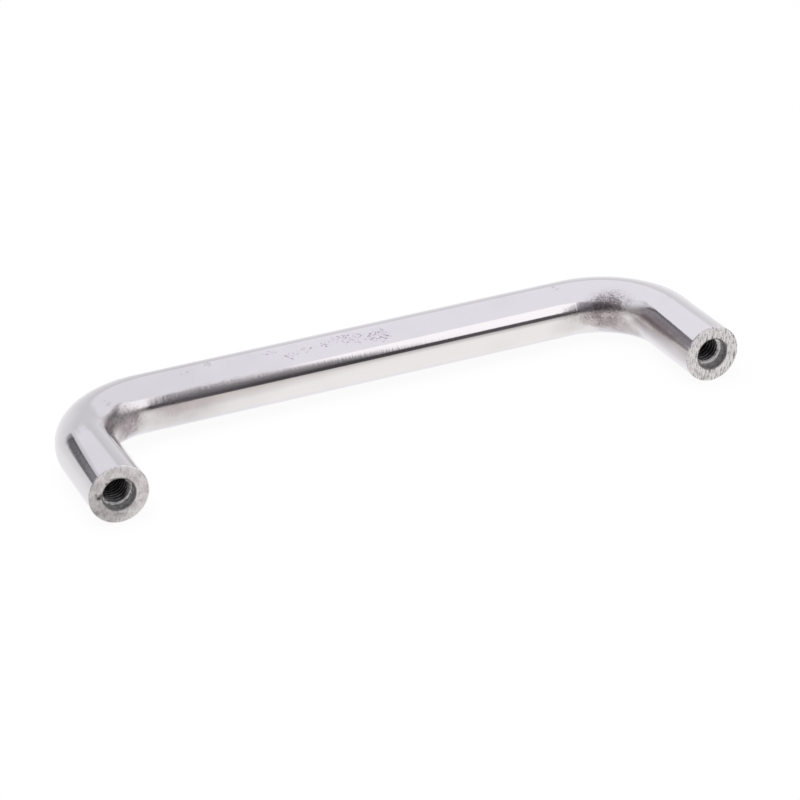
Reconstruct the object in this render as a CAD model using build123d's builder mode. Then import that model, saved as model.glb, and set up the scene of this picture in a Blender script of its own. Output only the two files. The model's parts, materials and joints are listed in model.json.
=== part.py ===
from build123d import *
import os
from math import radians, tan

# A pull handle bent from one round steel bar: a straight grip between two
# quarter bends, and two short legs with a tapped hole in each end.
# Millimetres. The mounting plane is y = 0, with the origin midway between the
# holes. The grip runs along X, the legs along Y, and Z is up, across the bar.

# Bar
bar_diameter = 12.0
hole_centres = 128.0        # leg to leg, centre to centre
grip_projection = 35.0      # mounting plane to the grip's centreline
bend_radius = 16.0          # at the bar's centreline
foot_edge_break = 0.2       # chamfer round each leg's sawn end

# Tapped hole in each leg
thread_diameter = 6.0
thread_pitch = 1.0
thread_length = 11.0        # full thread, from the recess inwards
tap_lead_room = 2.0         # drilled past the thread for the tap's taper
recess_clearance = 0.4      # recess over thread, on diameter
recess_depth = 2.3          # plain recess ahead of the thread
mouth_break = 0.2           # chamfer round the recess's mouth
drill_point_angle = 118.0

# Worked out from the values above
bar_radius = bar_diameter / 2
leg_x = hole_centres / 2
recess_radius = (thread_diameter + recess_clearance) / 2
tap_drill_radius = (thread_diameter - thread_pitch) / 2
drill_slope = tan(radians(drill_point_angle / 2))
thread_start = recess_depth + (recess_radius - tap_drill_radius) / drill_slope
drill_depth = thread_start + thread_length + tap_lead_room
point_depth = drill_depth + tap_drill_radius / drill_slope

foot_centres = [(-leg_x, 0, 0), (leg_x, 0, 0)]

os.makedirs("parts", exist_ok=True)

# The hole as a solid of revolution: x is the radius and y the depth below the
# mounting plane. It is chamfer, plain recess, drill cone, tap drill and point.
with BuildPart() as tapped_hole:
    with BuildSketch(Plane.XY):
        with BuildLine():
            Polyline(
                (0, 0),
                (recess_radius + mouth_break, 0),
                (recess_radius, mouth_break),
                (recess_radius, recess_depth),
                (tap_drill_radius, thread_start),
                (tap_drill_radius, drill_depth),
                (0, point_depth),
                close=True,
            )
        make_face()
    revolve(axis=Axis.Y)

with BuildPart() as handle:
    # Round bar carried along the centreline: leg, bend, grip, bend, leg
    with BuildLine() as centreline:
        FilletPolyline(
            (-leg_x, 0, 0),
            (-leg_x, grip_projection, 0),
            (leg_x, grip_projection, 0),
            (leg_x, 0, 0),
            radius=bend_radius,
        )
    with BuildSketch(Plane(origin=foot_centres[0], x_dir=(1, 0, 0), z_dir=(0, 1, 0))):
        Circle(bar_radius)
    sweep(path=centreline.wire())

    # Sawn ends lie in the mounting plane, with their sharp edge taken off
    foot_faces = handle.faces().filter_by(Axis.Y).group_by(Axis.Y)[0]
    chamfer(foot_faces.edges(), foot_edge_break)

    # One tapped hole up the middle of each leg
    with Locations(*foot_centres):
        add(tapped_hole.part, mode=Mode.SUBTRACT)

handle.part.label = "handle"
export_step(handle.part, "parts/handle.step")
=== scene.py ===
import json
import math

import bpy
import numpy as np
from bpy.props import FloatProperty, FloatVectorProperty, IntProperty, PointerProperty
from mathutils import Matrix, Vector


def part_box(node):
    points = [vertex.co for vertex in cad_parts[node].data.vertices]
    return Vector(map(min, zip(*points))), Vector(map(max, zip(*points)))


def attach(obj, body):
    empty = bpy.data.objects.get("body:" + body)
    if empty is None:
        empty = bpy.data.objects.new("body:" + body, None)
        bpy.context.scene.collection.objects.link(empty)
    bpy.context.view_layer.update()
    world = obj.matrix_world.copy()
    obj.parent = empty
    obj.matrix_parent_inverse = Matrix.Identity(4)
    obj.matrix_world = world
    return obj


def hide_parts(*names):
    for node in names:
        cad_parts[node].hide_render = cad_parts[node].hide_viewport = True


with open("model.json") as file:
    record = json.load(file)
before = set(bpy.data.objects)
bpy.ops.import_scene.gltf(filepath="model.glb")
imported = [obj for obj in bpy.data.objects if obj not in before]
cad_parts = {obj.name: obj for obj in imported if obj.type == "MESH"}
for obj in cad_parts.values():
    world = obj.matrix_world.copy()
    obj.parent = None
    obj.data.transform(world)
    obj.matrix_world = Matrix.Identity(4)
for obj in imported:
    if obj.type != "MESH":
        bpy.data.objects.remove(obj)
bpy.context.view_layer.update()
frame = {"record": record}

bl_info = {
    "name": "Bent Bar Handle",
    "version": (1, 0, 0),
    "blender": (4, 5, 0),
    "location": "View3D > Sidebar > Handle",
    "description": "A polished steel pull handle with tapped ends, and a light tent to show it in",
    "category": "Add Mesh",
}

# ---------------------------------------------------------------------------
# Sizes read from the frame, in metres
# ---------------------------------------------------------------------------

NODE = "handle"
MM = 0.001
MICRON = 0.000001
MOUNTS = {mount["name"]: mount for mount in frame["record"]["mounts"]}
HOLE = MOUNTS["right_tapped_hole"]
NODE_LOW, NODE_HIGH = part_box(NODE)
# The node's flat facets lie a few micrometres inside the round bar, hence the rounding to 0.1 mm.
BAR_RADIUS = round((NODE_HIGH[2] - NODE_LOW[2]) / 2, 4)
LEG_X = HOLE["pos_m"][0]
PROJECTION = round(NODE_HIGH[1], 4) - BAR_RADIUS
TAP_RADIUS = HOLE["dims"]["r_mm"] * MM
RECESS_RADIUS = MOUNTS["screw_holes"]["dims"]["hole_r_mm"] * MM
THREAD_START = HOLE["pos_m"][1] - HOLE["dims"]["length_mm"] * MM / 2
DRILL_DEPTH = HOLE["pos_m"][1] + HOLE["dims"]["length_mm"] * MM / 2

# What a drill and a tap leave: the drill's cone, the thread's flanks, and the tap's nose, which narrows
# by 1 in 3. Both slopes are the change of radius by depth.
DRILL_POINT_ANGLE = math.radians(118)
THREAD_ANGLE = math.radians(60)
DRILL_SLOPE = math.tan(DRILL_POINT_ANGLE / 2)
FLANK_SLOPE = 1 / math.tan(THREAD_ANGLE / 2)
TAP_TAPER = 3
TURN = 2 * math.pi


# ---------------------------------------------------------------------------
# Values that a user would change
# ---------------------------------------------------------------------------

def length(name, description, default):
    return FloatProperty(name=name, description=description, default=default, min=0.0, precision=5,
                         subtype="DISTANCE", unit="LENGTH")


def colour(name, description, default):
    return FloatVectorProperty(name=name, description=description, default=default, size=3,
                               min=0.0, max=2.0, subtype="COLOR")


def share(name, description, default):
    return FloatProperty(name=name, description=description, default=default, min=0.0, max=1.0,
                         subtype="FACTOR")


class HandleSizes(bpy.types.PropertyGroup):
    """Sizes of the bent bar and of the tapped hole in each end."""

    bend_radius: length("Bend radius", "Radius of both bends at the bar's centreline", 0.016)
    flattening: share("Flattening", "How far the bends draw the legs' section into an oval", 0.045)
    easing: length("Easing", "How far the skin is drawn in where the bends ease into the grip", 0.00028)
    flat_depth: length("Flat depth", "Depth of the slight flat that the die left on the left leg", 0.00013)
    edge_break: length("Edge break", "Chamfer round the sawn ends and the hole mouths", 0.0002)
    recess_depth: length("Recess depth", "Depth of the plain recess ahead of the thread", 0.0023)
    thread_diameter: length("Thread diameter", "Major diameter of the thread", 0.006)
    thread_pitch: length("Thread pitch", "Distance between neighbouring turns of the thread", 0.001)
    thread_length: length("Thread length", "Length of full thread in each hole", 0.011)
    columns: IntProperty(name="Columns", description="Facets round the bar and round the holes",
                         default=96, min=12, max=128)


class SteelFinish(bpy.types.PropertyGroup):
    """Colours and roughness of the bar's surfaces."""

    steel: colour("Steel", "Colour of the polished bar", (0.80, 0.785, 0.785))
    rough_skin: colour("Rough skin", "Colour inside the bends, where no polishing wheel reaches",
                       (0.62, 0.575, 0.58))
    fleck: colour("Fleck", "Colour of the dark flecks in the rough skin", (0.25, 0.215, 0.235))
    haze_and_shade: colour("Haze", "Colour of the dull haze in the inner corners", (0.40, 0.36, 0.365))
    stain: colour("Stain", "Colour of the pits in the polish", (0.34, 0.29, 0.33))
    sawn: colour("Sawn end", "Colour of the bare sawn ends", (0.98, 0.96, 0.96))
    bore: colour("Bore", "Colour of the recess and the thread", (0.66, 0.65, 0.65))
    polish: share("Polish", "Roughness of the polished bar", 0.08)
    sawn_roughness: share("Sawn roughness", "Roughness of the sawn ends", 0.42)
    peel: length("Peel height", "Height of the rough skin inside the bends", 0.00003)


class TentLook(bpy.types.PropertyGroup):
    """Colours of the light tent that the bar mirrors, and of its floor."""

    canopy: colour("Canopy", "Glow of the cloth overhead", (0.887, 0.868, 0.945))
    window: colour("Window", "Glow of the bare lamp panel low on the right", (1.15, 1.12, 1.15))
    backdrop: colour("Backdrop", "Glow of the sweep behind the bar", (0.70, 0.692, 0.73))
    table: colour("Table", "Glow of the table on the lamp's side", (0.985, 0.962, 0.965))
    far_table: colour("Far table", "Glow of the table behind the bar", (0.92, 0.915, 0.945))
    near_table: colour("Near table", "Glow of the table before the opening", (0.72, 0.675, 0.665))
    card: colour("Card", "Glow of the grey card on the left", (0.31, 0.30, 0.335))
    card_shadow: colour("Card shadow", "Glow of the table at the foot of the card", (0.36, 0.30, 0.31))
    opening: colour("Opening", "Glow of the dark room beyond the tent's opening", (0.095, 0.086, 0.096))
    ceiling: colour("Ceiling", "Glow of that room's ceiling", (0.45, 0.44, 0.47))
    floor: colour("Floor", "Colour of the floor", (0.9, 0.9, 0.9))


# ---------------------------------------------------------------------------
# Shader expressions
# ---------------------------------------------------------------------------

class Wire:
    """A socket in a node tree. Arithmetic on wires adds Math nodes, and node() adds any other node."""

    def __init__(self, tree, socket=None):
        self.tree = tree
        self.socket = socket

    def node(self, kind, settings=(), sockets=(), output=0):
        """Adds a node: its settings first, then a value or a wire for each socket that is named."""
        made = self.tree.nodes.new(kind)
        for name, value in dict(settings).items():
            setattr(made, name, value)
        for key, value in dict(sockets).items():
            if isinstance(value, Wire):
                self.tree.links.new(value.socket, made.inputs[key])
            else:
                made.inputs[key].default_value = value
        return Wire(self.tree, made.outputs[output] if made.outputs else None)

    def maths(self, operation, *values):
        return self.node("ShaderNodeMath", {"operation": operation}, dict(enumerate(values)))

    def at_most(self, limit):
        return self.maths("MINIMUM", self, limit)

    def at_least(self, limit):
        return self.maths("MAXIMUM", self, limit)

    def __add__(self, other):
        return self.maths("ADD", self, other)

    def __radd__(self, other):
        return self.maths("ADD", other, self)

    def __sub__(self, other):
        return self.maths("SUBTRACT", self, other)

    def __rsub__(self, other):
        return self.maths("SUBTRACT", other, self)

    def __mul__(self, other):
        return self.maths("MULTIPLY", self, other)

    def __rmul__(self, other):
        return self.maths("MULTIPLY", other, self)

    def __truediv__(self, other):
        return self.maths("DIVIDE", self, other)

    def __rtruediv__(self, other):
        return self.maths("DIVIDE", other, self)

    def __abs__(self):
        return self.maths("ABSOLUTE", self)

    def ramp(self, start, end):
        """0 below start, 1 above end, and a straight line between them."""
        return self.node("ShaderNodeMapRange", {"clamp": True},
                         {"Value": self, "From Min": start, "From Max": end})

    def rise(self, start, end):
        """0 below start, 1 above end, and a smooth step between them."""
        return self.node("ShaderNodeMapRange", {"interpolation_type": "SMOOTHSTEP"},
                         {"Value": self, "From Min": start, "From Max": end})

    def band(self, start, end, blur):
        """1 between start and end and 0 outside, with edges that are soft by blur to each side."""
        return self.rise(start - blur, start + blur) * (1 - self.rise(end - blur, end + blur))

    def blend(self, low, high):
        """The colour that goes from low to high as this wire goes from 0 to 1."""
        return self.node("ShaderNodeMix", {"data_type": "RGBA", "clamp_factor": True},
                         {"Factor": self, 6: opaque(low), 7: opaque(high)}, output=2)

    def noise(self, scale, detail=2.0, roughness=0.5):
        """Fractal noise from 0 to 1 on this vector, with scale cells to the metre."""
        return self.node("ShaderNodeTexNoise", {"noise_dimensions": "3D"},
                         {"Vector": self, "Scale": scale, "Detail": detail, "Roughness": roughness})

    def vector(self, operation, other=(0.0, 0.0, 0.0), output=0):
        return self.node("ShaderNodeVectorMath", {"operation": operation}, {0: self, 1: other}, output)

    def axis(self, name):
        return self.node("ShaderNodeSeparateXYZ", (), {0: self}, output=name)

    def end(self, kind="ShaderNodeOutputMaterial"):
        """Makes this shader the tree's surface."""
        self.node(kind, (), {"Surface": self})


def opaque(value):
    """A wire as it is, or a colour with full alpha."""
    return value if isinstance(value, Wire) else (*value[:3], 1.0)


def total(wires):
    """The sum of several wires."""
    first, *others = wires
    for other in others:
        first = first + other
    return first


def new_material(name):
    """An empty node material and the wire that its nodes hang from."""
    material = bpy.data.materials.new(name)
    material.use_nodes = True
    material.node_tree.nodes.clear()
    return material, Wire(material.node_tree)


# ---------------------------------------------------------------------------
# The bent bar
# ---------------------------------------------------------------------------

def runs(sizes):
    """Lengths of one leg, one bend and the grip along the centreline, and of the whole line."""
    leg = PROJECTION - sizes.bend_radius
    bend = sizes.bend_radius * TURN / 4
    grip = 2 * (LEG_X - sizes.bend_radius)
    return leg, bend, grip, 2 * leg + 2 * bend + grip


def centreline(along, sizes):
    """Points of the centreline and the directions out of the bridge, by length from the left end.

    The line goes up a leg, round a quarter circle, across, round another quarter circle and down a leg.
    Each run adds its own part of the length, clipped to the run, and the direction out of the bridge
    starts at -X and turns by as much as the two quarter circles have turned.
    """
    leg, bend, grip, _ = runs(sizes)
    radius = sizes.bend_radius
    rising = np.minimum(along, leg)
    first = np.clip(along - leg, 0, bend) / radius
    across = np.clip(along - leg - bend, 0, grip)
    second = np.clip(along - leg - bend - grip, 0, bend) / radius
    falling = np.maximum(along - leg - 2 * bend - grip, 0)
    x = -LEG_X + radius * (1 - np.cos(first)) + across + radius * np.sin(second)
    y = rising + radius * np.sin(first) - radius * (1 - np.cos(second)) - falling
    turned = first + second
    flat = np.zeros_like(along)
    return np.stack([x, y, flat], -1), np.stack([-np.cos(turned), np.sin(turned), flat], -1)


# Material slots of the bar, and rings in each turn of the thread.
SKIN, SAWN, BORE = range(3)
ROWS_PER_TURN = 16


def end_profile(sizes):
    """Rings from the bottom of a hole out over the sawn end to the skin: depth, radius, finish, corner.

    The drill's cone, the threaded wall, the cone where the recess was drilled, the recess, the broken
    mouth, the flat end and the broken outer edge. A ring's finish is that of the band that follows it,
    and a ring is a corner where the surface turns sharply.
    """
    edge = sizes.edge_break
    point_radius = np.linspace(0.02, 0.8, 5) * TAP_RADIUS
    point_depth = DRILL_DEPTH + (TAP_RADIUS - point_radius) / DRILL_SLOPE
    wall = np.arange(DRILL_DEPTH, sizes.recess_depth, -sizes.thread_pitch / ROWS_PER_TURN)
    cone = RECESS_RADIUS - (wall - sizes.recess_depth) * DRILL_SLOPE
    parts = [
        (point_depth, point_radius, BORE, False),
        (wall, np.maximum(TAP_RADIUS, cone), BORE, False),
        ([sizes.recess_depth], [RECESS_RADIUS], BORE, True),
        (np.linspace(0.75, 0.25, 3) * sizes.recess_depth, [RECESS_RADIUS] * 3, BORE, False),
        ([edge], [RECESS_RADIUS], BORE, True),
        ([0.0], [RECESS_RADIUS + edge], SAWN, True),
        (np.zeros(5), np.linspace(RECESS_RADIUS + 2 * edge, BAR_RADIUS - 2 * edge, 5), SAWN, False),
        ([0.0], [BAR_RADIUS - edge], SAWN, True),
    ]
    depth, radius = (np.concatenate([np.asarray(part[i], float) for part in parts]) for i in (0, 1))
    finish, corner = (np.concatenate([np.full(len(part[0]), part[i]) for part in parts]) for i in (2, 3))
    return depth, radius, finish, corner


def skin_rows(sizes):
    """Lengths along the bar of the skin's rings: close together round the bends, far apart on the runs."""
    leg, bend, grip, whole = runs(sizes)
    edge = sizes.edge_break
    starts = [edge, leg, leg + bend, leg + bend + grip, leg + 2 * bend + grip]
    ends = [*starts[1:], whole - edge]
    counts = [12, 64, 48, 64, 12]
    rows = [np.linspace(start, end, count, endpoint=False)
            for start, end, count in zip(starts, ends, counts)]
    return np.concatenate([*rows, [whole - edge]])


def thread_radius(depth, around, sizes, handed):
    """Radius that the tap leaves at a depth and an angle round the hole.

    A groove runs round the hole and sinks by one pitch a turn. Its radius is the major radius over an
    eighth of the pitch and falls along both flanks, and past the full thread the whole groove fades as
    a tap's tapered nose leaves it.
    """
    pitch = sizes.thread_pitch
    root = pitch / 8
    turns = (depth - handed * pitch * around / TURN) / pitch
    off_groove = np.abs(turns - np.round(turns)) * pitch
    flank = np.maximum(off_groove - root / 2, 0) * FLANK_SLOPE
    nose = np.maximum(depth - THREAD_START - sizes.thread_length, 0) / TAP_TAPER
    return sizes.thread_diameter / 2 - flank - nose


def capped_tube(name, rings, tips):
    """A smooth closed mesh from an array of rings of points and the single point that closes each end.

    Neighbouring rings are joined by quads, and an end ring is joined to its tip by a fan of triangles.
    """
    rows, columns, _ = rings.shape
    index = np.arange(rows * columns).reshape(rows, columns)
    ahead = np.roll(index, -1, axis=1)
    quads = np.stack([index[:-1], ahead[:-1], ahead[1:], index[1:]], -1).reshape(-1, 4)
    fans = np.concatenate([
        np.stack([ahead[0], index[0], np.full(columns, index.size)], -1),
        np.stack([index[-1], ahead[-1], np.full(columns, index.size + 1)], -1),
    ])
    mesh = bpy.data.meshes.new(name)
    mesh.from_pydata(np.concatenate([rings.reshape(-1, 3), tips]).tolist(), [],
                     quads.tolist() + fans.tolist())
    mesh.polygons.foreach_set("use_smooth", np.ones(len(mesh.polygons), bool))
    mesh.update()
    return mesh


def bar_mesh(sizes):
    """The whole bar as one closed surface, from one drill point to the other.

    Rings are carried along the centreline. A ring's points are the centreline's point plus its radius
    times cos(a) outwards and sin(a) upwards. Rings in the holes take the larger of the drilled radius
    and the thread's. The attribute "unrolled" holds each point's length along the bar, its distance
    outwards and its distance upwards from the centreline.
    """
    depth, radius, finish, corner = end_profile(sizes)
    skin = skin_rows(sizes)
    whole = runs(sizes)[-1]
    along = np.concatenate([depth, skin, whole - depth[::-1]])
    inward = np.concatenate([depth, np.zeros_like(skin), depth[::-1]])
    radii = np.concatenate([radius, np.full(len(skin), BAR_RADIUS), radius[::-1]])
    corners = np.concatenate([corner, [True], np.zeros(len(skin) - 2, bool), [True], corner[::-1]])
    bands = np.concatenate([finish, np.full(len(skin) - 1, SKIN), finish[::-1]])
    # The angle round the bar is mirrored from leg to leg, and the sign keeps both threads right-handed.
    handed = np.where(np.arange(len(along)) < len(along) / 2, 1, -1)

    around = np.arange(sizes.columns) * TURN / sizes.columns
    tapped = (inward > sizes.recess_depth) & (inward <= DRILL_DEPTH)
    cut = thread_radius(inward[:, None], around, sizes, handed[:, None])
    ring = np.where(tapped[:, None], np.maximum(radii[:, None], cut), radii[:, None])

    middle, outward = centreline(along, sizes)
    sideways, upward = ring * np.cos(around), ring * np.sin(around)
    points = middle[:, None] + sideways[..., None] * outward[:, None]
    points[..., 2] += upward
    unrolled = np.stack([np.broadcast_to(along[:, None], ring.shape), sideways, upward], -1)

    point_depth = DRILL_DEPTH + TAP_RADIUS / DRILL_SLOPE
    tips = np.array([[-LEG_X, point_depth, 0.0], [LEG_X, point_depth, 0.0]])
    mesh = capped_tube(NODE, points, tips)
    materials = np.concatenate([np.repeat(bands, sizes.columns), np.full(2 * sizes.columns, BORE)])
    mesh.polygons.foreach_set("material_index", materials.astype(np.int32))
    mark_corners(mesh, corners, sizes.columns)
    attribute = mesh.attributes.new("unrolled", "FLOAT_VECTOR", "POINT")
    attribute.data.foreach_set("vector", np.concatenate([unrolled.reshape(-1, 3), tips]).ravel())
    mesh.update()
    return mesh


def mark_corners(mesh, corners, columns):
    """Marks the edges that run round a corner ring as sharp."""
    ends = np.zeros(2 * len(mesh.edges), np.int32)
    mesh.edges.foreach_get("vertices", ends)
    rings = (ends // columns).reshape(-1, 2)
    on_ring = rings[:, 0] == rings[:, 1]
    lookup = np.append(corners, False)
    mesh.edges.foreach_set("use_edge_sharp", on_ring & lookup[np.minimum(rings[:, 0], len(corners))])


# ---------------------------------------------------------------------------
# Finishes
# ---------------------------------------------------------------------------

# Patches of the skin: millimetres from the left end, degrees round from the outside, half their length
# and width in millimetres, and strength. First the rough skin inside the bends, where the dies gripped,
# which runs out in a faint strip along the grip.
ROUGH_PATCHES = (
    (36.5, 184, 8.5, 5.5, 0.85),
    (33.5, 147, 5.5, 2.2, 0.3),
    (48.0, 162, 9.0, 2.2, 0.35),
    (60.0, 149, 20.0, 1.1, 0.35),
    (151.5, 147, 10.0, 3.6, 0.72),
    (143.0, 167, 9.5, 3.2, 0.5),
    (150.5, 185, 9.5, 6.3, 0.6),
)
# Dull patches that are rougher where the polishing wheel hardly reached, and painted darker as painted
# shade for the
# shaded table close by that they mirror: in both inner corners and along the right leg.
HAZE_AND_SHADE_PATCHES = (
    (22.5, 145, 8.5, 2.2, 1.0),
    (27.0, 156, 5.0, 2.4, 0.5),
    (32.5, 190, 12.0, 6.0, 0.6),
    (50.0, 192, 14.0, 4.5, 0.3),
    (140.0, 192, 9.0, 3.5, 0.25),
    (155.5, 208, 10.0, 5.0, 0.6),
    (160.5, 200, 6.0, 3.5, 0.12),
    (175.0, 154, 18.0, 1.9, 0.85),
    (168.0, 167, 13.0, 3.3, 0.6),
)
# Pits under the polish, on top of the grip and at the left bend.
PIT_PATCHES = (
    (32.5, 121, 3.0, 1.8, 0.8),
    (58.5, 99, 1.8, 1.6, 1.0),
    (54.0, 110, 2.5, 1.2, 0.7),
    (71.5, 106, 3.0, 1.2, 1.0),
    (75.5, 126, 3.0, 1.7, 1.0),
    (79.5, 119, 3.0, 1.5, 1.0),
    (83.5, 114, 2.6, 1.6, 0.9),
    (88.0, 108, 5.0, 1.8, 0.9),
    (91.0, 121, 6.0, 2.4, 0.9),
    (96.0, 122, 4.0, 3.2, 1.05),
    (137.0, 102, 1.8, 1.2, 0.9),
)
# The flat on the left leg, in the same terms.
FLAT_PATCHES = ((15.0, 46, 60.0, 3.0, 1.0),)


def oval(place, middle, reach):
    """1 near the middle of an ellipsoid and 0 outside it, by its half lengths along X, Y and Z."""
    off = place.vector("SUBTRACT", middle).vector("DIVIDE", reach)
    return 1 - off.vector("LENGTH", output="Value").rise(0.2, 1.0)


def patches(place, rows):
    """The sum of several ovals on the unrolled skin."""
    turns = [math.radians(row[1]) for row in rows]
    return total(oval(place, (along * MM, BAR_RADIUS * math.cos(turn), BAR_RADIUS * math.sin(turn)),
                      (half_length * MM, half_width * MM, half_width * MM)) * strength
                 for (along, _, half_length, half_width, strength), turn in zip(rows, turns))


def tinted(colour_value, factor):
    """A colour made brighter or darker by a factor."""
    return tuple(channel * factor for channel in colour_value)


def bowed_by(height):
    """The normal of a surface that stands this many metres proud of its mesh."""
    return height.node("ShaderNodeBump", (), {"Strength": 1.0, "Distance": 1.0, "Height": height})


def from_grip_middle(place, sizes):
    """The distance along the bar from the grip's middle, and where on it the bends start and end."""
    leg, bend, _, whole = runs(sizes)
    return abs(place.axis("X") - whole / 2), whole / 2 - leg - bend, whole / 2 - leg


def bending_faults(place, sizes):
    """Height of the slight faults that the bending left, which bow the reflections.

    The legs are drawn into an oval, a height of (z * z - y * y) / radius that fades towards the ends.
    The bends ease into the grip, a height of -y / radius that spreads their turn beyond their own
    length. A flat lies along the left leg.
    """
    distance, bend_start, bend_end = from_grip_middle(place, sizes)
    outwards, upwards = place.axis("Y"), place.axis("Z")
    drawn = (distance.rise((bend_start + bend_end) / 2, bend_end)
             * distance.ramp(runs(sizes)[-1] / 2, bend_end + 2 * MM))
    squeeze = (upwards * upwards - outwards * outwards) * drawn * (sizes.flattening / BAR_RADIUS)
    eased = (distance.rise(bend_start - 4 * MM, bend_start + 4 * MM)
             * (1 - distance.rise(bend_end - 8 * MM, bend_end + 3 * MM)))
    return (squeeze - eased * outwards * (sizes.easing / BAR_RADIUS)
            - drawn * patches(place, FLAT_PATCHES) * sizes.flat_depth)


def polished_steel(sizes, finish):
    """Buffed steel: faint lines across the bar, pits here and there, and rough skin inside the bends."""
    material, wire = new_material("polished_steel")
    place = wire.node("ShaderNodeAttribute", {"attribute_name": "unrolled"}, output="Vector")

    cloud = place.noise(350, detail=3.0)
    skin = (patches(place, ROUGH_PATCHES) * (0.2 + cloud * 1.8)).at_most(1.0)
    grain = place.noise(5400, detail=2.0, roughness=0.6)
    flecks = (grain + skin * 0.25).rise(0.67, 0.72) * skin.rise(0.0, 0.15)

    strokes = place.vector("MULTIPLY", (1500, 3300, 3300)).noise(1.0, detail=3.0, roughness=0.6)
    pitted = patches(place, PIT_PATCHES).at_most(1.0)
    pits = (strokes + pitted * 0.17).rise(0.70, 0.77) * pitted.rise(0.0, 0.3)

    # The bends keep more of the lines that the dies left than the grip and the legs do.
    distance, bend_start, bend_end = from_grip_middle(place, sizes)
    depth = distance.band(bend_start - 6 * MM, bend_end, 4 * MM) * (14 * MICRON) + 4 * MICRON
    lines = place.vector("MULTIPLY", (2300, 330, 330)).noise(1.0, detail=3.0)
    swell = place.vector("MULTIPLY", (110, 260, 260)).noise(1.0, detail=1.0)
    height = (bending_faults(place, sizes) + lines * depth + swell * (4 * MICRON)
              + grain * (skin * finish.peel + 1.2 * MICRON) - pits * (8 * MICRON))

    # Painted light: the steel is painted a little lighter towards the right, where the bar mirrors
    # brighter light, over a random mottle. It is painted darker with painted shade in the dull patches,
    # and darker in the rough skin and the pits.
    haze_and_shade = (patches(place, HAZE_AND_SHADE_PATCHES) * (0.5 + cloud)).at_most(1.0)
    mottle = place.noise(140, detail=4.0) - 0.5
    rightward_light_and_mottle = place.axis("X").rise(45 * MM, 85 * MM) + mottle * 1.6
    base = rightward_light_and_mottle.blend(tinted(finish.steel, 0.96), tinted(finish.steel, 1.05))
    base = haze_and_shade.blend(base, finish.haze_and_shade)
    base = (skin * 0.35).blend(base, finish.rough_skin)
    base = (flecks * 0.95).blend(base, finish.fleck)
    base = (pits * 0.85).blend(base, finish.stain)
    rough = (finish.polish + skin * 0.07 + haze_and_shade * 0.22 + pits * 0.25
             + place.noise(45, detail=2.0).rise(0.45, 0.75) * 0.03)
    wire.node("ShaderNodeBsdfPrincipled", (), {
        "Base Color": base,
        "Metallic": 1.0,
        "Roughness": rough,
        "Normal": bowed_by(height),
    }).end()
    return material


# Nicks in the left end, beside the hole and over it: millimetres right of the hole's axis and above it,
# half their width and height, and strength.
NICKS = (
    (-3.95, 0.3, 1.3, 1.0, 0.5),
    (-4.1, 0.15, 0.6, 0.55, 0.6),
    (-3.5, 0.6, 0.5, 0.4, 0.4),
    (-4.5, 0.9, 0.4, 0.3, 0.3),
    (-2.3, 2.8, 0.45, 0.4, 0.6),
    (-0.8, 3.45, 1.3, 0.3, 0.6),
)


def sawn_steel(finish):
    """The bare ends: straight saw lines over a dull skin, coarser and brighter on the right end."""
    material, wire = new_material("sawn_steel")
    place = wire.node("ShaderNodeTexCoord", output="Object")
    sideways, upwards = place.axis("X"), place.axis("Z")
    right = sideways.rise(-10 * MM, 10 * MM)
    from_axis = wire.node("ShaderNodeCombineXYZ", (), {"X": abs(sideways) - LEG_X, "Z": upwards})
    from_axis = from_axis.vector("LENGTH", output="Value")
    burr = 1 - from_axis.rise(RECESS_RADIUS + 0.1 * MM, RECESS_RADIUS + 0.5 * MM)
    saw = wire.node("ShaderNodeCombineXYZ", (), {
        "X": (sideways + upwards * -0.16) * 5200,
        "Z": upwards * 900,
    })
    lines = saw.noise(1.0, detail=3.0, roughness=0.65)
    scores = saw.vector("MULTIPLY", (0.45, 1.0, 0.5)).noise(1.0, detail=2.0)
    grain = place.noise(4200, detail=3.0, roughness=0.65)
    cloud = place.noise(520, detail=3.0)
    nicks = total(
        oval(place, (-LEG_X + x * MM, 0.0, z * MM), (half_width * MM, 1.0, half_height * MM)) * strength
        for x, z, half_width, half_height, strength in NICKS)
    nicks = (nicks * (0.4 + cloud * 1.2)).at_most(1.0)
    worn = oval(place, (-LEG_X - 3.2 * MM, 0.0, -3.0 * MM), (7.0 * MM, 1.0, 6.5 * MM))
    dark = (lines.rise(0.50, 0.62) * (0.2 + right * 0.5) + scores.rise(0.54, 0.66) * (0.12 + right * 0.5)
            + grain.rise(0.50, 0.64) * 0.3 + cloud.rise(0.42, 0.65) * (0.3 - right * 0.2)
            + worn * 0.35 + burr * (0.5 + right * 0.4))
    base = dark.at_most(1.0).blend(finish.sawn, tinted(finish.sawn, 0.25))
    base = nicks.blend(base, tinted(finish.sawn, 0.04))
    height = (lines * (3 * MICRON + right * (9 * MICRON)) + grain * (4 * MICRON)
              - nicks * (80 * MICRON))
    wire.node("ShaderNodeBsdfPrincipled", (), {
        "Base Color": base,
        "Metallic": 1.0,
        "Roughness": finish.sawn_roughness + grain * 0.1,
        "Normal": bowed_by(height),
    }).end()
    return material


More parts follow.
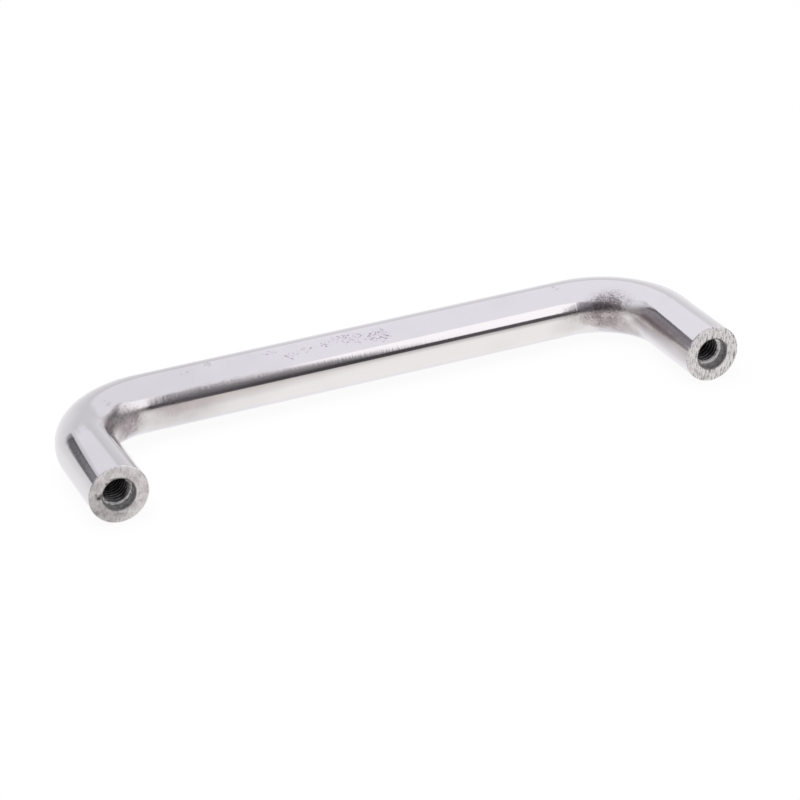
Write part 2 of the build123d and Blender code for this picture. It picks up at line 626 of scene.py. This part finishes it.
def bored_steel(sizes, finish):
    """Recess and thread: turned steel with fine rings, and painted shade that blackens the thread.

    The shoulder is the cone where the recess ends and is painted lighter as a painted highlight, the
    recess turns darker towards the mouth, and the crest of the thread is painted a little lighter than its
    grooves as a painted highlight.
    """
    material, wire = new_material("bored_steel")
    place = wire.node("ShaderNodeTexCoord", output="Object")
    depth = place.axis("Y")
    unrolled = wire.node("ShaderNodeAttribute", {"attribute_name": "unrolled"}, output="Vector")
    radius = unrolled.vector("MULTIPLY", (0.0, 1.0, 1.0)).vector("LENGTH", output="Value")
    crest = 1 - radius.rise(TAP_RADIUS + 0.05 * MM, TAP_RADIUS + 0.2 * MM)
    rings = place.vector("MULTIPLY", (500, 5200, 500)).noise(1.0, detail=2.0)
    grime = place.noise(1300, detail=3.0, roughness=0.6).rise(0.42, 0.68)
    mouth = 1 - depth.rise(0.5 * sizes.edge_break, 7 * sizes.edge_break)
    shoulder = depth.rise(sizes.recess_depth - 0.4 * MM, sizes.recess_depth + 0.1 * MM)
    deep_thread_shade = depth.rise(sizes.recess_depth + 0.1 * MM, sizes.recess_depth + 0.6 * MM)
    # Painted highlight: the shoulder is painted lighter, and is less metallic below.
    base = shoulder.blend(finish.bore, tinted(finish.bore, 1.8))
    base = (rings.rise(0.48, 0.60) * 0.5).blend(base, tinted(finish.bore, 0.3))
    base = (grime * 0.7).blend(base, tinted(finish.bore, 0.35))
    base = (mouth * 0.8).blend(base, tinted(finish.bore, 0.12))
    # Painted shade: past the shoulder the thread is painted nearly black, and its crest a little lighter
    # as a painted highlight.
    base = (deep_thread_shade * (0.96 - crest * 0.2)).blend(base, tinted(finish.bore, 0.04))
    height = rings * (6 * MICRON) + grime * (6 * MICRON)
    wire.node("ShaderNodeBsdfPrincipled", (), {
        "Base Color": base,
        "Metallic": 0.35 - shoulder * 0.35 + deep_thread_shade * 0.95,
        "Roughness": 0.5 - deep_thread_shade * 0.15 + grime * 0.1,
        "Normal": bowed_by(height),
    }).end()
    return material


# ---------------------------------------------------------------------------
# The light tent
# ---------------------------------------------------------------------------

TENT_RADIUS = 2.0
TENT_ROWS = 24
TENT_COLUMNS = 48
# Middles of the tent's parts, as headings in degrees clockwise from +Y.
BACK = 7
LAMP_PANEL = 127
OPENING = 210
CARD = 331
# Height in degrees of the lower edge of the cloth overhead.
CLOTH_EDGE = 41


def tent_mesh():
    """A ball round the object: radius times cos(b)sin(a), cos(b)cos(a) and sin(b), facing inwards."""
    height = np.linspace(-TURN / 4, TURN / 4, TENT_ROWS + 1)[1:-1, None]
    heading = np.arange(TENT_COLUMNS) * TURN / TENT_COLUMNS
    level = np.broadcast_to(np.sin(height), (TENT_ROWS - 1, TENT_COLUMNS))
    points = np.stack([np.cos(height) * np.sin(heading), np.cos(height) * np.cos(heading), level], -1)
    tips = np.array([[0, 0, -TENT_RADIUS], [0, 0, TENT_RADIUS]])
    return capped_tube("tent", points * TENT_RADIUS, tips)


def from_heading(heading, middle):
    """Degrees clockwise from a middle heading, from -180 to 180."""
    return heading.maths("FLOORED_MODULO", heading - (middle - 180), 360.0) - 180


def near_heading(heading, middle, start, end):
    """1 within start degrees of a middle heading and 0 beyond end degrees of it."""
    return 1 - abs(from_heading(heading, middle)).rise(start, end)


def panel(heading, height, middle, half_width, bottom, top, blur):
    """1 inside an upright panel and 0 outside it, with edges that are soft by blur to each side."""
    across = near_heading(heading, middle, half_width - blur, half_width + blur)
    return across * height.band(bottom, top, blur)


def cloth_walls(heading, height, look):
    """The sweep behind the bar and the table, which brighten downwards, and the cloth round them."""
    behind = near_heading(heading, BACK, 32, 62)
    sweep = height.ramp(25, 1).blend(look.backdrop, tinted(look.far_table, 0.9))
    sweep = height.ramp(1, -14).blend(sweep, look.far_table)
    near = height.ramp(-3, -18).blend(tinted(look.table, 0.52), look.table)
    near = near_heading(heading, OPENING, 44, 54).blend(near, look.near_table)
    low = behind.blend(near, sweep)

    # The cloth hangs lower at the back, sags behind the card, and is lowest at the seam on the right.
    sag = near_heading(heading, CARD + 3, 4, 14)
    seam = near_heading(heading, 58, 5, 30)
    edge = CLOTH_EDGE - behind * 13.5 - sag * 6 - seam * 20
    glow = (height - edge).rise(-1.5, 1.5).blend(low, look.canopy)

    # The cloth's left side is dark at the bottom, and on the right a dark wedge rises under the seam.
    side = height.rise(7, 38).blend(tinted(look.near_table, 0.5), tinted(look.canopy, 0.92))
    glow = (near_heading(heading, 285, 18, 40) * height.band(-2, CLOTH_EDGE, 2)).blend(glow, side)
    wedge = near_heading(heading, 68, 20, 30) * height.rise(-26, -10)
    wedge = wedge * (1 - (height - from_heading(heading, 44) * 0.65).rise(-4, 4))
    return wedge.blend(glow, tinted(look.backdrop, 0.3))


def grey_card(glow, place, heading, height, look):
    """The grey card on the left and its shadow on the table, laid over the glow behind them.

    The card's foot rises to the right and then runs level. Its right side leans outwards, and its top
    steps down at the corner and meets that side in a point. The card is laid on whole in the tone of
    its dark rim and then inset in its own. To the left the rim fades out and the top turns soft.
    """
    aside = from_heading(heading, CARD)
    shadow = place.axis("Y").rise(0.86, 0.79) * near_heading(heading, 318, 24, 44) * height.ramp(-42, -9)
    glow = (shadow * (1 - height.rise(-9, -3))).blend(glow, look.card_shadow)
    rim = aside.ramp(-18, -6).blend(look.card, look.opening)
    rim = aside.ramp(-1.5, 0.5).blend(rim, tinted(look.opening, 0.3))
    foot = (aside * 1.75 + 7.5).at_most(2.4).at_least(-9)
    top = (24 - aside.ramp(0.6, 1.6) * 7.5 + aside.at_most(0) * 0.05
           + aside.at_most(0).at_least(-4) * 0.85)
    softness = (-8 - aside).at_least(0) * 0.3 + 1
    for inset, tone in ((0, rim), (4, look.card)):
        over_foot = height - foot - aside.ramp(-2, -5) * inset
        over_side = height - aside * 2.7 - 5.2 - inset * 1.5
        under_top = (top - height - inset) / softness
        left_end = (aside + 33 - inset).rise(-5, 5)
        card = over_foot.at_most(over_side).rise(-1, 1) * under_top.rise(-1, 1) * left_end
        glow = card.blend(glow, tone)
    return glow


def lamp_panel(glow, heading, height, look):
    """The lamp panel low on the right, with a gap under it that is darkest beside the opening."""
    glow = panel(heading, height, LAMP_PANEL, 35, 10.5, CLOTH_EDGE, 1.0).blend(glow, look.window)
    gap = panel(heading, height, LAMP_PANEL, 35, -3, 10, 1.5)
    glow = gap.blend(glow, tinted(look.near_table, 0.55))
    return panel(heading, height, LAMP_PANEL + 30, 7, -3, 10, 1.5).blend(glow, look.opening)


def room_outside(glow, heading, height, look):
    """The opening that the camera looks in through, and the dark room beyond it, paler at the ceiling.

    The opening's sill rises towards the left, and the cloth hangs across its upper corner there.
    """
    off_edge = from_heading(heading, OPENING - 50)
    lean = abs(off_edge).ramp(5, 50) * 12
    dim = off_edge.ramp(3, 6).blend(tinted(look.opening, 0.6), tinted(look.opening, 1.4))
    room = (height - lean).ramp(6, CLOTH_EDGE).blend(dim, look.ceiling)
    swing = from_heading(heading, OPENING)
    drape = (swing + height * 0.7 - 56).rise(-4, 4)
    sill = (height - swing.ramp(0, 30) * 8).rise(-4.8, -3.2)
    lintel = 1 - height.rise(CLOTH_EDGE - 0.8, CLOTH_EDGE + 0.8)
    hole = near_heading(heading, OPENING, 50.5, 52.1) * sill * lintel * (1 - drape)
    return hole.blend(glow, room)


def tent_cloth(look):
    """What the bar mirrors in each direction, by heading clockwise from +Y and height in degrees."""
    material, wire = new_material("tent_cloth")
    place = wire.node("ShaderNodeTexCoord", output="Object").vector("NORMALIZE")
    heading = wire.maths("ARCTAN2", place.axis("X"), place.axis("Y")) * (360 / TURN)
    height = wire.maths("ARCSINE", place.axis("Z")) * (360 / TURN)
    glow = cloth_walls(heading, height, look)
    glow = grey_card(glow, place, heading, height, look)
    glow = lamp_panel(glow, heading, height, look)
    glow = room_outside(glow, heading, height, look)
    wire.node("ShaderNodeEmission", (), {"Color": glow, "Strength": 1.0}).end()
    return material


def floor_mesh():
    """A flat disc under the bar: rings of growing radius round a middle point."""
    columns = 64
    radii = np.array([0.2, 0.6, 1.6])
    level = NODE_LOW[2]
    around = np.arange(columns) * TURN / columns
    points = np.stack([radii[:, None] * np.cos(around), radii[:, None] * np.sin(around),
                       np.full((len(radii), columns), level)], -1)
    index = np.arange(len(radii) * columns).reshape(len(radii), columns)
    ahead = np.roll(index, -1, axis=1)
    quads = np.stack([index[:-1], index[1:], ahead[1:], ahead[:-1]], -1).reshape(-1, 4)
    fan = np.stack([index[0], ahead[0], np.full(columns, index.size)], -1)
    mesh = bpy.data.meshes.new("floor")
    mesh.from_pydata([*points.reshape(-1, 3).tolist(), (0.0, 0.0, level)], [],
                     quads.tolist() + fan.tolist())
    mesh.update()
    return mesh


def floor_paint(look):
    """Pale floor that the camera sees as nearly white, with the bar's shadow faint on it."""
    material, wire = new_material("floor_paint")
    diffuse = wire.node("ShaderNodeBsdfDiffuse", (), {"Color": opaque(look.floor)})
    white = wire.node("ShaderNodeEmission", (), {"Color": (1.0, 1.0, 1.0, 1.0), "Strength": 1.0})
    seen = wire.node("ShaderNodeLightPath", output="Is Camera Ray") * 0.93
    top = wire.node("ShaderNodeMixShader", (), {0: seen, 1: diffuse, 2: white})
    clear = wire.node("ShaderNodeBsdfTransparent")
    below = wire.node("ShaderNodeNewGeometry", output="Backfacing")
    wire.node("ShaderNodeMixShader", (), {0: below, 1: top, 2: clear}).end()
    return material


def white_world():
    """A white background for whatever looks at it, and a softer light on the floor."""
    world = bpy.data.worlds.new("studio")
    world.use_nodes = True
    world.node_tree.nodes.clear()
    wire = Wire(world.node_tree)
    seen = total(wire.node("ShaderNodeLightPath", output=name)
                 for name in ("Is Camera Ray", "Is Glossy Ray", "Is Transmission Ray"))
    wire.node("ShaderNodeBackground", (), {
        "Color": (1.0, 1.0, 1.0, 1.0), "Strength": 0.6 + seen.at_most(1.0) * 0.4,
    }).end("ShaderNodeOutputWorld")
    return world


# ---------------------------------------------------------------------------
# Operators
# ---------------------------------------------------------------------------

LAMP_PLACE = Vector((-0.15, 0.1, 0.9))


def place_object(name, data):
    """A new object in the scene, unturned and at the origin."""
    made = bpy.data.objects.new(name, data)
    bpy.context.scene.collection.objects.link(made)
    return made


class HANDLE_OT_bar(bpy.types.Operator):
    """Make the bent bar with its two tapped holes, in place of the CAD node"""

    bl_idname = "handle.bar"
    bl_label = "Bent Bar"

    def execute(self, context):
        sizes, finish = context.scene.handle_sizes, context.scene.handle_finish
        if sizes.bend_radius <= BAR_RADIUS:
            raise ValueError("the bend radius has to be larger than the bar's own radius")
        bar = place_object("bent_bar", bar_mesh(sizes))
        for material in (polished_steel(sizes, finish), sawn_steel(finish), bored_steel(sizes, finish)):
            bar.data.materials.append(material)
        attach(bar, "root")
        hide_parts(NODE)
        return {"FINISHED"}


class HANDLE_OT_studio(bpy.types.Operator):
    """Make the light tent, the floor, the lamp and the camera"""

    bl_idname = "handle.studio"
    bl_label = "Studio"

    def execute(self, context):
        scene, look = context.scene, context.scene.handle_tent
        if scene.camera is not None:
            raise RuntimeError("the studio is already there")
        tent = place_object("tent", tent_mesh())
        tent.data.materials.append(tent_cloth(look))
        for ray in ("camera", "diffuse", "transmission", "volume_scatter", "shadow"):
            setattr(tent, "visible_" + ray, False)
        floor = place_object("floor", floor_mesh())
        floor.data.materials.append(floor_paint(look))
        floor.visible_glossy = False

        lamp = place_object("soft_lamp", bpy.data.lights.new("soft_lamp", "AREA"))
        lamp.data.shape = "DISK"
        lamp.data.size = 0.9
        lamp.data.energy = 6.0
        lamp.location = LAMP_PLACE
        lamp.rotation_euler = LAMP_PLACE.to_track_quat("Z", "Y").to_euler()
        lamp.visible_glossy = False

        scene.world = white_world()
        scene.camera = place_object("camera", bpy.data.cameras.new("camera"))
        aim_camera(scene.camera)
        scene.view_settings.view_transform = "Standard"
        return {"FINISHED"}


def aim_camera(camera):
    """Stands the camera off from its target, by heading and height, and rolls it about its own axis."""
    target = Vector((-0.00115, 0.01137, 0.0))
    distance = 0.5219
    heading = math.radians(-22.27)
    height = math.radians(26.26)
    roll = math.radians(-2.83)
    back = Vector((math.sin(heading) * math.cos(height), -math.cos(heading) * math.cos(height),
                   math.sin(height)))
    turn = back.to_track_quat("Z", "Y").to_matrix() @ Matrix.Rotation(roll, 3, "Z")
    camera.matrix_world = Matrix.Translation(target + back * distance) @ turn.to_4x4()
    camera.data.lens = 116.97
    camera.data.sensor_width = 36.0
    camera.data.clip_start = 0.01


class HANDLE_PT_panel(bpy.types.Panel):
    """Lists the handle's operators and settings"""

    bl_idname = "HANDLE_PT_panel"
    bl_label = "Bent Bar Handle"
    bl_space_type = "VIEW_3D"
    bl_region_type = "UI"
    bl_category = "Handle"

    def draw(self, context):
        for operator in (HANDLE_OT_bar, HANDLE_OT_studio):
            self.layout.operator(operator.bl_idname)
        for group in (context.scene.handle_sizes, context.scene.handle_finish, context.scene.handle_tent):
            box = self.layout.box()
            for name in group.bl_rna.properties.keys():
                if name not in ("rna_type", "name"):
                    box.prop(group, name)


CLASSES = (HandleSizes, SteelFinish, TentLook, HANDLE_OT_bar, HANDLE_OT_studio, HANDLE_PT_panel)


def register():
    for cls in CLASSES:
        bpy.utils.register_class(cls)
    bpy.types.Scene.handle_sizes = PointerProperty(type=HandleSizes)
    bpy.types.Scene.handle_finish = PointerProperty(type=SteelFinish)
    bpy.types.Scene.handle_tent = PointerProperty(type=TentLook)


def unregister():
    del bpy.types.Scene.handle_tent
    del bpy.types.Scene.handle_finish
    del bpy.types.Scene.handle_sizes
    for cls in reversed(CLASSES):
        bpy.utils.unregister_class(cls)


def main():
    register()
    bpy.ops.handle.bar()
    bpy.ops.handle.studio()
    bpy.context.view_layer.update()


if __name__ == "__main__":
    main()
